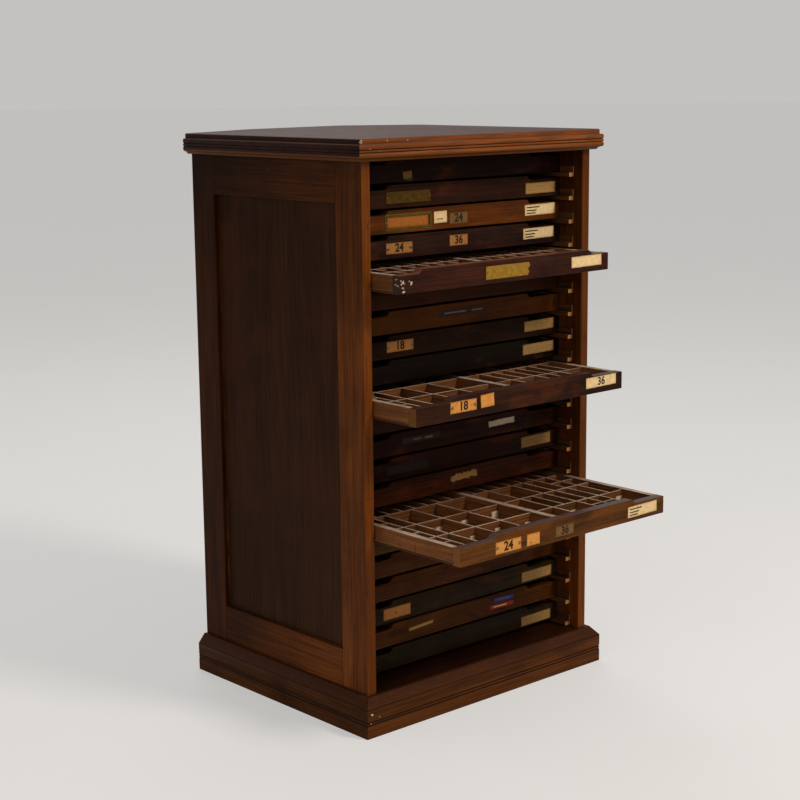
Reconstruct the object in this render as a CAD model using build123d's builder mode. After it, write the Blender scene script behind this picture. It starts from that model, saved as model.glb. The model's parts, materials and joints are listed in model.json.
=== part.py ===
from build123d import *
import os

# A tall cabinet of shallow type cases, the trays that hold a compositor's type.
# All sizes are in millimetres. X runs to the cabinet's right, -Y is its open
# front, and Z is up from the floor it stands on.

# ---------------------------------------------------------------- type cases
case_count = 21
case_width = 546.0
case_depth = 422.0
case_pitch = 46.15

front_thickness = 19.0
front_height = 42.0
front_end_height = 33.5
front_raised_width = 370.0
case_05_raised_width = 445.0
ogee_length = 15.0

rail_thickness = 13.0
rail_height = 33.0
bottom_thickness = 5.0
centre_bar_thickness = 14.0
slat_thickness = 4.0
slat_drop = 2.0

# how far the cases that stand drawn out are pulled, by case number from the top
rest_pull = {5: 130.0, 10: 169.5, 15: 279.5}

# ------------------------------------------------------------------- carcass
side_thickness = 20.4
front_stile_width = 72.0
rear_stile_width = 70.0
top_rail_width = 76.0
bottom_rail_width = 72.0
panel_thickness = 8.0
panel_recess = 9.0
panel_groove_depth = 8.0
floor_thickness = 18.0
back_thickness = 12.0
back_board_count = 5
top_gap = 3.0
floor_gap = 10.5
front_recess = 58.0
rear_gap = 16.5

# ---------------------------------------------------------------- top board
top_thickness = 39.5
top_overhang = 19.5
# the wide board has warped: it is bowed from side to side and higher at the back
top_bow = 4.5
top_rear_rise = 6.0
lip_height = 9.8
lip_setback = 6.0
lip_radius = 2.5
bead_heights = (9.5, 5.0, 9.7)
bead_bulge = 1.8
cove_width = 10.0
cove_hollow = 1.6

# ------------------------------------------------------------------- plinth
plinth_height = 74.3
plinth_overhang = 22.0
plinth_bevel_height = 18.0
plinth_ledge = 7.0
plinth_groove_heights = (26.0, 31.5)
plinth_groove_side = 2.0
plinth_back_thickness = 19.0
glue_block_side = 38.0
glue_block_height = 36.0

# ------------------------------------------------------------------ runners
runner_lip_height = 13.0
runner_foot_width = 13.4
runner_foot_height = 8.0
runner_lip_thickness = 2.2
runner_recess = 23.0
runner_rear_gap = 6.0

# ------------------------------------------------------------ brass fittings
brass_thickness = 0.9
plate_width = 110.0
plate_height = 21.0
plate_clip = 1.2
plate_centre = -133.0
plate_rise = 8.5
holder_width = 115.0
holder_height = 30.0
holder_centre = -133.5
holder_rise = 5.0
holder_border = 4.5
holder_corner_radius = 3.0
holder_bead_width = 1.6
holder_bead_height = 0.8
torn_plate_width = 115.0
torn_plate_height = 24.0
torn_plate_centre = -4.5
torn_plate_rise = 8.5
# the torn edge from its foot to its head: how far it is bitten in, at what share of the height
torn_bites = ((6.0, 0.0), (2.0, 0.3), (6.0, 0.45), (0.0, 0.75), (3.0, 1.0))

# ---------------------------------------------------------------- clearances
slide_clearance = 0.4
side_play = 0.9
glue_line = 0.1
groove_fit = 0.3

# ------------------------------------------------------------ derived places
opening_width = case_width + 2 * (runner_lip_thickness + side_play)
carcass_width = opening_width + 2 * side_thickness
carcass_depth = front_recess + case_depth + rear_gap + back_thickness
carcass_height = floor_gap + (case_count - 1) * case_pitch + front_height + top_gap
carcass_top = plinth_height + carcass_height
floor_underside = plinth_height - floor_thickness

# the object with its drawn-out cases is centred from front to back
front_reach = max(max(rest_pull.values()) - front_recess, plinth_overhang)
carcass_front = (front_reach - carcass_depth) / 2
carcass_back = carcass_front + carcass_depth

os.makedirs("parts", exist_ok=True)


def facing_front(y):
    """The upright plane at depth y that looks out of the cabinet's front."""
    return Plane.XZ.offset(-y)


def facing_right(x):
    """The upright plane at x that looks to the cabinet's right."""
    return Plane.YZ.offset(x)


def save_node(piece, name):
    """Names a finished piece and writes it as one node."""
    piece.label = name
    export_step(piece, f"parts/{name}.step")


def save_mirrored(piece, name):
    """Writes the left-hand twin of a right-hand piece."""
    with BuildPart() as twin:
        add(mirror(piece, about=Plane.YZ, mode=Mode.PRIVATE))
    save_node(twin.part, name)


# ------------------------------------------------ the side frames and panels
# Each side is a frame of two stiles and two rails. A groove runs along their
# inner edges: the panel floats in it, and the rails' tongues fill its ends.
stile_middle = (carcass_width - side_thickness) / 2
groove_middle = carcass_width / 2 - panel_recess - panel_thickness / 2
groove_width = panel_thickness + groove_fit
rail_front = carcass_front + front_stile_width
rail_back = carcass_back - rear_stile_width
rail_middle = (rail_front + rail_back) / 2
bottom_rail_top = plinth_height + bottom_rail_width
top_rail_foot = carcass_top - top_rail_width


def add_stile(y_from, y_to, grooved_edge):
    """An upright of the frame, with the groove for the panel in one edge."""
    with BuildSketch(Plane.XY) as section:
        with Locations((stile_middle, (y_from + y_to) / 2)):
            Rectangle(side_thickness, y_to - y_from)
        with Locations((groove_middle, grooved_edge)):
            Rectangle(groove_width, 2 * panel_groove_depth, mode=Mode.SUBTRACT)
    extrude(section.sketch, amount=carcass_top)


def add_rail(z_from, z_to, grooved_edge):
    """A cross piece of the frame: grooved for the panel, with a tongue at each end."""
    middle = (z_from + z_to) / 2
    height = z_to - z_from
    length = rail_back - rail_front - 2 * glue_line
    with Locations((stile_middle, rail_middle, middle)):
        Box(side_thickness, length, height)
    with Locations((groove_middle, rail_middle, grooved_edge)):
        Box(groove_width, length, 2 * panel_groove_depth, mode=Mode.SUBTRACT)
    # the tongue leaves out the grooved part of the rail's end
    away = -1 if grooved_edge > middle else 1
    tongue_length = length + 2 * (panel_groove_depth - glue_line)
    with Locations((groove_middle, rail_middle, middle + away * panel_groove_depth / 2)):
        Box(panel_thickness, tongue_length, height - panel_groove_depth)


with BuildPart() as right_side_frame:
    add_stile(carcass_front, rail_front, rail_front)
    add_stile(rail_back, carcass_back, rail_back)
    add_rail(floor_underside, bottom_rail_top, bottom_rail_top)
    add_rail(top_rail_foot, carcass_top, top_rail_foot)

panel_tuck = panel_groove_depth - groove_fit

with BuildPart() as right_side_panel:
    with Locations((groove_middle, rail_middle, (bottom_rail_top + top_rail_foot) / 2)):
        Box(
            panel_thickness,
            rail_back - rail_front + 2 * panel_tuck,
            top_rail_foot - bottom_rail_top + 2 * panel_tuck,
        )

save_node(right_side_frame.part, "right_side_frame")
save_node(right_side_panel.part, "right_side_panel")
save_mirrored(right_side_frame.part, "left_side_frame")
save_mirrored(right_side_panel.part, "left_side_panel")


# -------------------------------------------------- floor board and the back
with BuildPart() as floor_board:
    with BuildSketch(Plane.XY.offset(floor_underside)):
        with Locations((0, carcass_front)):
            floor_depth = carcass_depth - back_thickness
            Rectangle(opening_width, floor_depth, align=(Align.CENTER, Align.MIN))
    extrude(amount=floor_thickness)

with BuildPart() as back_boards:
    back_board_pitch = opening_width / back_board_count
    with BuildSketch(facing_front(carcass_back)):
        with Locations((0, (floor_underside + carcass_top) / 2)):
            with GridLocations(back_board_pitch, 0, back_board_count, 1):
                Rectangle(back_board_pitch - glue_line, carcass_top - floor_underside)
    extrude(amount=back_thickness)

save_node(floor_board.part, "floor_board")
save_node(back_boards.part, "back_boards")


# ------------------------------------------------------------------ top board
top_surface = carcass_top + top_thickness
top_front = carcass_front - top_overhang


def top_edge(start, rise, reach):
    """The moulded edge at reach, drawn from start on the risen top to start underneath."""
    lip = reach - lip_setback
    bead = reach - bead_bulge
    z = top_surface - lip_height
    TangentArc((start, top_surface + rise), (lip - lip_radius, top_surface), tangent=(1, 0))
    RadiusArc((lip - lip_radius, top_surface), (lip, top_surface - lip_radius), lip_radius)
    Line((lip, top_surface - lip_radius), (lip, z))
    Line((lip, z), (bead, z))
    for height in bead_heights:
        SagittaArc((bead, z), (bead, z - height), bead_bulge)
        z -= height
    SagittaArc((bead, z), (reach - cove_width, carcass_top), -cove_hollow)
    Line((reach - cove_width, carcass_top), (start, carcass_top))


with BuildPart() as top_board:
    # the section across the cabinet, moulded at both sides
    with BuildSketch(facing_front(carcass_back)):
        with BuildLine():
            top_edge(0, top_bow, carcass_width / 2 + top_overhang)
            mirror(about=Plane.YZ)
        make_face()
    extrude(amount=carcass_back - top_front)
    # the section from back to front, moulded in front, mitres the two corners
    with BuildSketch(Plane.left):
        with BuildLine():
            top_edge(-carcass_back, top_rear_rise, -top_front)
            Line((-carcass_back, carcass_top), (-carcass_back, top_surface + top_rear_rise))
        make_face()
    extrude(amount=carcass_width, both=True, mode=Mode.INTERSECT)

save_node(top_board.part, "top_board")


# --------------------------------------------------------------------- plinth
# The boards are mitred at the two front corners, along this plane on the right.
carcass_corner = (carcass_width / 2, carcass_front, 0)
corner_mitre = Plane(origin=carcass_corner, x_dir=(0, 0, 1), z_dir=(-1, -1, 0))


def plinth_section():
    """The plinth's section, out from the carcass, with two fine grooves and a bevel."""
    Polygon(
        (0, 0),
        (plinth_overhang, 0),
        (plinth_overhang, plinth_height - plinth_bevel_height),
        (plinth_ledge, plinth_height),
        (0, plinth_height),
        align=None,
    )
    with Locations([(plinth_overhang, height) for height in plinth_groove_heights]):
        Rectangle(plinth_groove_side, plinth_groove_side, rotation=45, mode=Mode.SUBTRACT)


out_in_front = Plane(origin=(0, carcass_front, 0), x_dir=(0, -1, 0), z_dir=(-1, 0, 0))
out_on_right = Plane(
    origin=(carcass_width / 2, carcass_back, 0), x_dir=(1, 0, 0), z_dir=(0, -1, 0)
)

with BuildPart() as plinth_front:
    with BuildSketch(out_in_front):
        plinth_section()
    extrude(amount=-carcass_width / 2 - plinth_overhang)
    split(bisect_by=corner_mitre, keep=Keep.TOP)
    mirror(about=Plane.YZ)

with BuildPart() as plinth_right:
    with BuildSketch(out_on_right):
        plinth_section()
    extrude(amount=carcass_depth + plinth_overhang)
    split(bisect_by=corner_mitre, keep=Keep.BOTTOM)

with BuildPart() as plinth_back:
    with BuildSketch(facing_front(carcass_back)):
        Rectangle(opening_width, floor_underside, align=(Align.CENTER, Align.MIN))
    extrude(amount=plinth_back_thickness)

save_node(plinth_front.part, "plinth_front")
save_node(plinth_right.part, "plinth_right")
save_mirrored(plinth_right.part, "plinth_left")
save_node(plinth_back.part, "plinth_back")

with BuildPart() as glue_blocks:
    # three-sided blocks rubbed into the corners under the floor board
    with BuildSketch(Plane.XY.offset(floor_underside - glue_block_height)):
        for y, inward in [(carcass_front, 1), (carcass_back - plinth_back_thickness, -1)]:
            corner = Vector(opening_width / 2, y)
            with BuildLine():
                Polyline(
                    corner,
                    corner + Vector(-glue_block_side, 0),
                    corner + Vector(0, inward * glue_block_side),
                    close=True,
                )
            make_face()
        mirror(about=Plane.YZ)
    extrude(amount=glue_block_height)

save_node(glue_blocks.part, "glue_blocks")


# -------------------------------------------------------------------- runners
# Each case slides on a pair of wooden runners. A runner is a foot under the
# case's side, with a thin lip glued on against the wall to guide the case.
runner_back = carcass_back - back_thickness - runner_rear_gap
case_heights = {
    number: plinth_height + floor_gap + (case_count - number) * case_pitch
    for number in range(1, case_count + 1)
}

with BuildPart() as right_runners:
    with BuildSketch(facing_front(runner_back)):
        for case_z in case_heights.values():
            foot_z = case_z - slide_clearance - runner_foot_height
            lip_z = foot_z + runner_foot_height + glue_line
            with Locations((opening_width / 2, foot_z)):
                Rectangle(runner_foot_width, runner_foot_height, align=(Align.MAX, Align.MIN))
            with Locations((opening_width / 2, lip_z)):
                Rectangle(runner_lip_thickness, runner_lip_height, align=(Align.MAX, Align.MIN))
    extrude(amount=runner_back - carcass_front - runner_recess)

save_node(right_runners.part, "right_runners")
save_mirrored(right_runners.part, "left_runners")


# ---------------------------------------------------------------- a case front
# A case is made in its own frame: the face of its front is at y = 0, its
# underside is at z = 0, and it is centred on x = 0.
def make_front(raised_width):
    """The front board, raised in the middle, with an ogee down to each low end."""
    high = (raised_width / 2 - ogee_length / 2, front_height)
    turn = (raised_width / 2, (front_height + front_end_height) / 2)
    low = (raised_width / 2 + ogee_length / 2, front_end_height)
    with BuildPart() as front:
        with BuildSketch(facing_front(front_thickness)):
            with BuildLine():
                Line((0, front_height), high)
                hollow = TangentArc(low, turn, tangent=(-1, 0))
                TangentArc(turn, high, tangent=hollow % 1)
                Line(low, (case_width / 2, front_end_height))
                Line((case_width / 2, front_end_height), (case_width / 2, 0))
                Line((case_width / 2, 0), (0, 0))
                mirror(about=Plane.YZ)
            make_face()
        extrude(amount=front_thickness)
    return front.part


# ------------------------------------------------- the slats that divide a case
# Slats that cross are slotted half way and drop into each other, like the
# cells of an egg crate. One that only meets another stops against its side.
inner_width = case_width - 2 * rail_thickness
inner_back = case_depth - rail_thickness
slat_foot = bottom_thickness + glue_line
slat_top = rail_height - slat_drop
slat_height = slat_top - slat_foot


def divisions(start, end, shares):
    """The places between start and end that part boxes of the given shares."""
    places = []
    reached = 0
    for share in shares[:-1]:
        reached += share
        places.append(start + (end - start) * reached / sum(shares))
    return places


def slat_face(start, end, slots, slot_edge):
    """A slat's long face from start to end, half slotted from one edge."""
    with Locations(((start + end) / 2, (slat_foot + slat_top) / 2)):
        Rectangle(end - start - 2 * glue_line, slat_height)
    for place in slots:
        with Locations((place, slot_edge)):
            Rectangle(slat_thickness + 2 * glue_line, slat_height + glue_line, mode=Mode.SUBTRACT)


def slats_across(places, x_from, x_to, crossings=()):
    """Slats from side to side, slotted from below where others cross them."""
    for y in places:
        with BuildSketch(facing_front(y)) as face:
            slat_face(x_from, x_to, crossings, slat_foot)
        extrude(face.sketch, amount=slat_thickness / 2, both=True)


def slats_along(places, y_from, y_to, crossings=()):
    """Slats from front to back, slotted from above where others cross them."""
    for x in places:
        with BuildSketch(facing_right(x)) as face:
            slat_face(y_from, y_to, crossings, slat_top)
        extrude(face.sketch, amount=slat_thickness / 2, both=True)


def divide(x_from, x_to, blocks):
    """Divides one half of a case with blocks of boxes, from front to back.

    A block has its rows' shares of the depth, its columns' shares of the width, and
    the (row, column) of each box that a short slat halves. A slat from side to side
    parts it from the next block.
    """
    whole_depth = sum(sum(rows) for rows, columns, halved in blocks)
    y_start = front_thickness
    for rows, columns, halved in blocks:
        y_end = y_start + (inner_back - front_thickness) * sum(rows) / whole_depth
        row_places = divisions(y_start, y_end, rows)
        column_places = divisions(x_from, x_to, columns)
        slats_across(row_places, x_from, x_to, column_places)
        y_from = y_start if y_start == front_thickness else y_start + slat_thickness / 2
        y_to = y_end
        if (rows, columns, halved) != blocks[-1]:
            y_to = y_end - slat_thickness / 2
            slats_across([y_end], x_from, x_to)
        slats_along(column_places, y_from, y_to, row_places)
        row_edges = [y_start, *row_places, y_end]
        column_edges = [x_from - slat_thickness / 2, *column_places, x_to + slat_thickness / 2]
        for row, column in halved:
            half_way = (row_edges[row] + row_edges[row + 1]) / 2
            box_left = column_edges[column] + slat_thickness / 2
            box_right = column_edges[column + 1] - slat_thickness / 2
            slats_across([half_way], box_left, box_right)
        y_start = y_end


def make_tray(left_blocks, right_blocks):
    """The case behind its front: bottom, sides, back, centre bar and slats."""
    left_width = sum(left_blocks[0][1])
    right_width = sum(right_blocks[0][1])
    left_wall = -inner_width / 2
    boxes_width = inner_width - centre_bar_thickness
    bar_left = left_wall + boxes_width * left_width / (left_width + right_width)
    bar_right = bar_left + centre_bar_thickness
    depth = case_depth - front_thickness
    with BuildPart() as tray:
        with BuildSketch(Plane.XY):
            with Locations((0, front_thickness)):
                Rectangle(case_width, depth, align=(Align.CENTER, Align.MIN))
        extrude(amount=bottom_thickness)
        with BuildSketch(Plane.XY.offset(slat_foot)):
            with Locations((0, front_thickness)):
                with GridLocations(case_width - rail_thickness, 0, 2, 1):
                    Rectangle(rail_thickness, depth, align=(Align.CENTER, Align.MIN))
            with Locations((0, inner_back)):
                back_width = inner_width - 2 * glue_line
                Rectangle(back_width, rail_thickness, align=(Align.CENTER, Align.MIN))
            with Locations((bar_left, front_thickness)):
                bar_length = inner_back - front_thickness - glue_line
                Rectangle(centre_bar_thickness, bar_length, align=(Align.MIN, Align.MIN))
        extrude(amount=rail_height - slat_foot)
        divide(left_wall, bar_left, left_blocks)
        divide(bar_right, inner_width / 2, right_blocks)
    return tray.part


# -------------------------------------------------------------- the box layouts
# A block is (rows' shares of the depth, columns' shares of the width, halved boxes).
capitals_half = [((1,) * 7, (1,) * 7, ())]

small_letters_left = [
    ((0.9, 1, 1), (0.65, 0.95, 2, 2, 2.4), ((0, 0), (1, 0), (2, 0))),
    ((1,), (1,) * 8, ()),
    ((0.6,), (2,) * 4, ()),
]
small_letters_right = [
    ((0.9,), (1.5, 2, 1, 1, 2), ((0, 2), (0, 3))),
    ((1.0,), (1.5, 1, 1, 1, 1, 1, 1), ()),
    ((1.0,), (1.5, 2, 1, 1, 1, 1), ((0, 4), (0, 5))),
    ((1.0,), (0.5, 1, 1, 1, 1, 1, 1, 1), ()),
    ((0.6,), (1.5, 2, 2, 2), ()),
]
sorts_half = [((row,), (1, 1, 1), ()) for row in (1.0, 1.2, 1.4)]

tray_layouts = {
    "capitals": (capitals_half, capitals_half),
    "small letters": (small_letters_left, small_letters_right),
    "sorts": (sorts_half, sorts_half),
}
case_layout = {5: "capitals", 10: "small letters", 15: "small letters"}


# --------------------------------------------------------- the brass fittings
# They are pinned to their cases' fronts, and made in the cases' own frame.
def make_plate():
    """A plain brass label plate with clipped corners."""
    with BuildPart() as plate:
        with BuildSketch(facing_front(0)) as face:
            with Locations((plate_centre, plate_rise + plate_height / 2)):
                Rectangle(plate_width, plate_height)
            chamfer(face.vertices(), length=plate_clip)
        extrude(amount=brass_thickness)
    return plate.part


def make_card_holder():
    """A brass frame that holds a card, with a raised bead around its window."""
    window_width = holder_width - 2 * holder_border
    window_height = holder_height - 2 * holder_border
    middle_height = holder_rise + holder_height / 2
    bead_width = window_width + 2 * holder_bead_width
    bead_height = window_height + 2 * holder_bead_width
    with BuildPart() as holder:
        with BuildSketch(facing_front(0)):
            with Locations((holder_centre, middle_height)):
                RectangleRounded(holder_width, holder_height, holder_corner_radius)
                Rectangle(window_width, window_height, mode=Mode.SUBTRACT)
        extrude(amount=brass_thickness)
        with BuildSketch(facing_front(-brass_thickness)):
            with Locations((holder_centre, middle_height)):
                Rectangle(bead_width, bead_height)
                Rectangle(window_width, window_height, mode=Mode.SUBTRACT)
        extrude(amount=holder_bead_height)
    return holder.part


def make_torn_plate():
    """A brass plate whose right end is torn off along a ragged edge."""
    left = torn_plate_centre - torn_plate_width / 2
    right = torn_plate_centre + torn_plate_width / 2
    foot = torn_plate_rise
    head = torn_plate_rise + torn_plate_height
    torn_edge = [
        (right - bite, foot + share * torn_plate_height) for bite, share in torn_bites
    ]
    with BuildPart() as plate:
        with BuildSketch(facing_front(0)):
            with BuildLine():
                Polyline((left, foot), *torn_edge, (left, head), close=True)
            make_face()
        extrude(amount=brass_thickness)
    return plate.part


# -------------------------------------------------- the cases in their places
front = make_front(front_raised_width)
fronts = {5: make_front(case_05_raised_width)}
trays = {name: make_tray(*halves) for name, halves in tray_layouts.items()}
fittings = {
    2: ("label_plate", make_plate()),
    3: ("card_holder", make_card_holder()),
    5: ("torn_plate", make_torn_plate()),
}

for number, case_z in case_heights.items():
    drawn_out = carcass_front + front_recess - rest_pull.get(number, 0)
    place = Location((0, drawn_out, case_z))
    tray = trays[case_layout.get(number, "sorts")]
    save_node(fronts.get(number, front).moved(place), f"case_{number:02d}_front")
    save_node(tray.moved(place), f"case_{number:02d}_tray")
    if number in fittings:
        name, fitting = fittings[number]
        save_node(fitting.moved(place), f"case_{number:02d}_{name}")
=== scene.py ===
# %% [markdown]
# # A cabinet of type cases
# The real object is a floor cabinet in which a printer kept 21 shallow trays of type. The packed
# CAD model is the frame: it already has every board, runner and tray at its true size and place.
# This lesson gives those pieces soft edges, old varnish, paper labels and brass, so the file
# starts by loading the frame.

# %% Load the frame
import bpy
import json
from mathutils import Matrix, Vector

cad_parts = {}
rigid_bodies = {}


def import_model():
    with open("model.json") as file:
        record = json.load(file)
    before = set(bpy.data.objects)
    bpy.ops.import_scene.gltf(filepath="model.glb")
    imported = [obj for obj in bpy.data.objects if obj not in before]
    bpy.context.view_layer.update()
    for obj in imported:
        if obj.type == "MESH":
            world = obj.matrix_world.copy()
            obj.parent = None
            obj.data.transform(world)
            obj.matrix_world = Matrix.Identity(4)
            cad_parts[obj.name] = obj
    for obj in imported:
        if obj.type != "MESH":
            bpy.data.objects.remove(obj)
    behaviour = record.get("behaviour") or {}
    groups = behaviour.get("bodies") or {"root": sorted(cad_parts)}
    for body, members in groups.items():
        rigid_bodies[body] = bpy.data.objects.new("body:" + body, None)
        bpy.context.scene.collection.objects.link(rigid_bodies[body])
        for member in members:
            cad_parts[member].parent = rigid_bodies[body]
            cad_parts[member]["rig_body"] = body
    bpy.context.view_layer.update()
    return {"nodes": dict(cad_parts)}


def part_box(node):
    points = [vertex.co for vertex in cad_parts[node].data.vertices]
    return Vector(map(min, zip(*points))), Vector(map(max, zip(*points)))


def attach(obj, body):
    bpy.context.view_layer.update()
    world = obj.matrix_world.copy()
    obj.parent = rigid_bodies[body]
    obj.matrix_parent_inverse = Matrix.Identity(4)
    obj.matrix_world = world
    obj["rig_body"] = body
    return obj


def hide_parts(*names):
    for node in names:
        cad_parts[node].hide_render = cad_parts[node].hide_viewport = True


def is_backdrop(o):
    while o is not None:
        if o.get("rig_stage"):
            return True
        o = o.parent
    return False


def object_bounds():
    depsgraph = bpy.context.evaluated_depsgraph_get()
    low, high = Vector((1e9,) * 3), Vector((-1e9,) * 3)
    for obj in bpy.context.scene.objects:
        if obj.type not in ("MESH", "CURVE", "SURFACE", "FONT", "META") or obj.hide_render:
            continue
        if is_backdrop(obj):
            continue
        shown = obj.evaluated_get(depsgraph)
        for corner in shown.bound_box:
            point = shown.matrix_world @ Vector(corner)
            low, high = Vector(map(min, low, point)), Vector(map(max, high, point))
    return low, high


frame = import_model()

# %% [markdown]
# ## Tools
# Blender measures in metres, and a woodworker in millimetres, so `mm` turns one into the other.
# The Standard view shows colours as they are written, where the usual AgX would fade them.

# %% Tools of the lesson
import json
import math
import random

import bmesh
import bpy
from mathutils import Matrix, Vector

scene = bpy.context.scene
scene.view_settings.view_transform = "Standard"
mm = 0.001
X, Y, Z = 0, 1, 2
print("view transform", scene.view_settings.view_transform)

# %% [markdown]
# ## The camera
# The photograph was taken from the front left, a little above the top. Its place, turn and lens
# were solved from the straight edges of the real cabinet, so the camera is set by a matrix. A
# tracking constraint would be simpler, but it can't hold the slight roll.

# %% Camera of the photograph
yaw, pitch, roll = math.radians(41.814), math.radians(10.830), math.radians(-0.580)
eye = (-2.2538, -2.42753, 1.2054)
lens_length, film_width = 77.166, 36.0

look = Vector((math.sin(yaw) * math.cos(pitch), math.cos(yaw) * math.cos(pitch), -math.sin(pitch)))
level_right = Vector((math.cos(yaw), -math.sin(yaw), 0.0))
level_up = level_right.cross(look)
camera_right = math.cos(roll) * level_right + math.sin(roll) * level_up
camera_up = math.cos(roll) * level_up - math.sin(roll) * level_right
turn = Matrix((camera_right, camera_up, -look)).transposed().to_4x4()

camera = bpy.data.objects.new("camera", bpy.data.cameras.new("camera"))
scene.collection.objects.link(camera)
camera.matrix_world = Matrix.Translation(eye) @ turn
camera.data.sensor_width = film_width
camera.data.lens = lens_length
scene.camera = camera
print("camera at", tuple(round(v, 3) for v in camera.location))

# %% [markdown]
# ## Shader maths as plain sums
# A material is a graph of nodes, and a graph is hard to read as code. One small class wraps an
# output socket and overloads the operators, so that an expression such as `1 - mask * 0.5` adds
# its own Math nodes. Every other node comes from one method that takes its type, its settings and
# its inputs.

# %% A socket that can be used in sums
class Wire:
    def __init__(self, graph, socket):
        self.graph = graph
        self.socket = socket

    def maths(self, operation, *values):
        return self.graph.node("ShaderNodeMath", {"operation": operation}, dict(enumerate(values)))

    def __add__(self, other):
        return self.maths("ADD", self, other)

    def __sub__(self, other):
        return self.maths("SUBTRACT", self, other)

    def __rsub__(self, other):
        return self.maths("SUBTRACT", other, self)

    def __mul__(self, other):
        return self.maths("MULTIPLY", self, other)

    def __abs__(self):
        return self.maths("ABSOLUTE", self)

    __radd__ = __add__
    __rmul__ = __mul__


print("a wire can be added, subtracted, multiplied and made positive")


# %% A graph and its one way to add a node
class Graph:
    def __init__(self, tree):
        self.tree = tree
        self.tree.nodes.clear()

    def node(self, kind, settings=None, sockets=None, out=0):
        made = self.tree.nodes.new(kind)
        for key, value in (settings or {}).items():
            setattr(made, key, value)
        for key, value in (sockets or {}).items():
            if isinstance(value, Wire):
                self.tree.links.new(value.socket, made.inputs[key])
            else:
                made.inputs[key].default_value = value
        return Wire(self, made.outputs[out]) if made.outputs else made


class Finish(Graph):
    """The graph of one material, with short names for the nodes that every finish uses."""

    def __init__(self, name):
        self.material = bpy.data.materials.new(name)
        self.material.use_nodes = True
        super().__init__(self.material.node_tree)
        self.place = self.node("ShaderNodeTexCoord", out="Object")

    def mix(self, factor, first, second, blend="MIX"):
        # the colour inputs and output of a Mix node share their names with its other kinds
        settings = {"data_type": "RGBA", "blend_type": blend}
        return self.node("ShaderNodeMix", settings, {0: factor, 6: first, 7: second}, out=2)

    def dim(self, tone, bright):
        grey = self.node("ShaderNodeCombineColor", {}, {0: bright, 1: bright, 2: bright})
        return self.mix(1.0, tone, grey, "MULTIPLY")

    def noise(self, place, scale, detail, rough=0.55, warp=0.0):
        sockets = {"Vector": place, "Scale": scale, "Detail": detail}
        sockets.update({"Roughness": rough, "Distortion": warp})
        return self.node("ShaderNodeTexNoise", {}, sockets)

    def stretch(self, place, scale):
        settings = {"vector_type": "POINT"}
        return self.node("ShaderNodeMapping", settings, {"Vector": place, "Scale": scale})

    def attribute(self, name, out="Fac"):
        return self.node("ShaderNodeAttribute", {"attribute_name": name}, out=out)

    def part_of(self, vector, axis):
        return self.node("ShaderNodeSeparateXYZ", {}, {0: vector}, out=axis)

    def step(self, value, low, high):
        """Zero below low, one above high, and a smooth climb between them."""
        sockets = {"Value": value, "From Min": low, "From Max": high}
        return self.node("ShaderNodeMapRange", {"interpolation_type": "SMOOTHSTEP"}, sockets)

    def fade(self, axis, low, high):
        """The same climb along one axis of the object."""
        return self.step(self.part_of(self.place, axis), low, high)

    def surface(self, tone, rough, relief, depth, specular, metal=0.0):
        heights = {"Height": relief, "Strength": 1.0, "Distance": depth}
        sockets = {"Base Color": tone, "Roughness": rough, "Metallic": metal}
        sockets["Specular IOR Level"] = specular
        sockets["Normal"] = self.node("ShaderNodeBump", {}, heights)
        shader = self.node("ShaderNodeBsdfPrincipled", {}, sockets)
        self.node("ShaderNodeOutputMaterial", {}, {"Surface": shader})
        return self.material


print("short names", [name for name in vars(Finish) if not name.startswith("_")])


# %% Colours written as a painter reads them off a chart
def colour(red, green, blue):
    """A colour on the 0 to 255 scale of screens, as the linear light that shaders want."""
    def linear(value):
        share = value / 255.0
        return share / 12.92 if share <= 0.04045 else ((share + 0.055) / 1.055) ** 2.4
    return (linear(red), linear(green), linear(blue), 1.0)


print("mid grey is", round(colour(128, 128, 128)[0], 3), "in linear light")

# %% [markdown]
# ## Studio
# A plain pale floor runs to the horizon, and the world behind it has the same paleness, so that no
# edge shows. A curved paper backdrop is the usual way, but a wall would hide the cabinet from
# views round the back. The floor glows a little, so that it stays pale where the lamps don't
# reach.

# %% Pale floor
backdrop_tint = (1.0, 0.985, 0.965, 1.0)
floor_radius = 60.0


def pale_floor():
    finish = Finish("studio_floor")
    cloud = finish.noise(finish.place, 2.5, detail=2.0)
    tone = finish.mix(cloud, colour(236, 234, 231), colour(243, 241, 239))
    matt = finish.node("ShaderNodeBsdfDiffuse", {}, {"Color": tone})
    glow = finish.node("ShaderNodeEmission", {}, {"Color": backdrop_tint, "Strength": 0.72})
    seen = finish.node("ShaderNodeLightPath", out="Is Camera Ray") * 0.55
    both = finish.node("ShaderNodeMixShader", {}, {0: seen, 1: matt, 2: glow})
    finish.node("ShaderNodeOutputMaterial", {}, {"Surface": both})
    return finish.material


floor_mesh = bpy.data.meshes.new("floor")
form = bmesh.new()
bmesh.ops.create_circle(form, cap_ends=True, segments=96, radius=floor_radius)
form.to_mesh(floor_mesh)
form.free()
floor = bpy.data.objects.new("floor", floor_mesh)
scene.collection.objects.link(floor)
floor.data.materials.append(pale_floor())
floor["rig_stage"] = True
print("floor radius", floor_radius, "m")

# %% [markdown]
# The world has two strengths. Rays that reach the camera, straight or by a mirror or glass, see
# the backdrop, and the rays that light the wood get a weaker and warmer world.

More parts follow.
